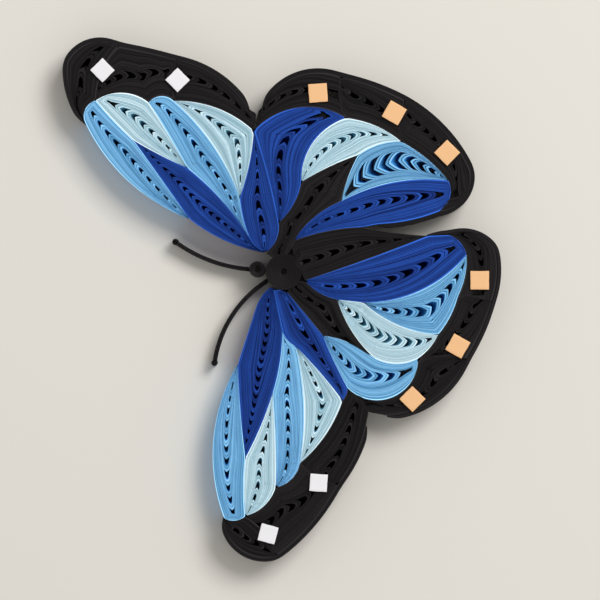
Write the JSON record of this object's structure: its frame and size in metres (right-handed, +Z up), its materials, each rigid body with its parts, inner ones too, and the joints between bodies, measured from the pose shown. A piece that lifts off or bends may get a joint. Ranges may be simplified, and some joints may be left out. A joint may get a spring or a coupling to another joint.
{
  "type": "quilled paper butterfly",
  "caption": "Flat quilled paper butterfly: pressed coils of blue and black strips on edge, glued side by side, with small paper squares on the wing margins.",
  "frame": {"origin": "on the glued underside, under the thorax, between the roots of the four wings", "axes": "+Y towards the head, +Z up to the seen face, +X to the wings on the right of the head as seen from above"},
  "size_m": [0.047, 0.0307, 0.0033],
  "materials": {
    "pale_blue_paper": "matt",
    "sky_blue_paper": "matt",
    "dark_blue_paper": "matt",
    "black_paper": "matt",
    "white_paper": "matt",
    "apricot_paper": "matt"
  },
  "bodies": {
    "root": {"abdomen_coil": "black_paper", "head_coil": "black_paper", "left_antenna": "black_paper", "left_forewing_front_coil": "sky_blue_paper", "left_forewing_front_margin_coil": "black_paper", "left_forewing_front_root_coil": "dark_blue_paper", "left_forewing_front_square": "white_paper", "left_forewing_front_tip_coil": "pale_blue_paper", "left_forewing_middle_coil": "sky_blue_paper", "left_forewing_middle_margin_coil": "black_paper", "left_forewing_rear_margin_coil": "black_paper", "left_forewing_rear_root_coil": "dark_blue_paper", "left_forewing_rear_square": "white_paper", "left_forewing_rear_tip_coil": "pale_blue_paper", "left_forewing_rim": "black_paper", "left_hindwing_front_margin_coil": "black_paper", "left_hindwing_front_square": "apricot_paper", "left_hindwing_front_tip_coil": "sky_blue_paper", "left_hindwing_inner_coil": "black_paper", "left_hindwing_middle_coil": "pale_blue_paper", "left_hindwing_middle_margin_coil": "black_paper", "left_hindwing_middle_square": "apricot_paper", "left_hindwing_rear_margin_coil": "black_paper", "left_hindwing_rear_root_coil": "dark_blue_paper", "left_hindwing_rear_square": "apricot_paper", "left_hindwing_rear_tip_coil": "sky_blue_paper", "left_hindwing_rim": "black_paper", "right_antenna": "black_paper", "right_forewing_front_coil": "sky_blue_paper", "right_forewing_front_margin_coil": "black_paper", "right_forewing_front_root_coil": "dark_blue_paper", "right_forewing_front_square": "white_paper", "right_forewing_front_tip_coil": "pale_blue_paper", "right_forewing_middle_coil": "sky_blue_paper", "right_forewing_middle_margin_coil": "black_paper", "right_forewing_rear_margin_coil": "black_paper", "right_forewing_rear_root_coil": "dark_blue_paper", "right_forewing_rear_square": "white_paper", "right_forewing_rear_tip_coil": "pale_blue_paper", "right_forewing_rim": "black_paper", "right_hindwing_front_margin_coil": "black_paper", "right_hindwing_front_root_coil": "dark_blue_paper", "right_hindwing_front_square": "apricot_paper", "right_hindwing_front_tip_coil": "pale_blue_paper", "right_hindwing_inner_coil": "black_paper", "right_hindwing_middle_coil": "sky_blue_paper", "right_hindwing_middle_margin_coil": "black_paper", "right_hindwing_middle_square": "apricot_paper", "right_hindwing_rear_margin_coil": "black_paper", "right_hindwing_rear_root_coil": "dark_blue_paper", "right_hindwing_rear_square": "apricot_paper", "right_hindwing_rim": "black_paper", "thorax_coil": "black_paper"}
  },
  "joints": []
}
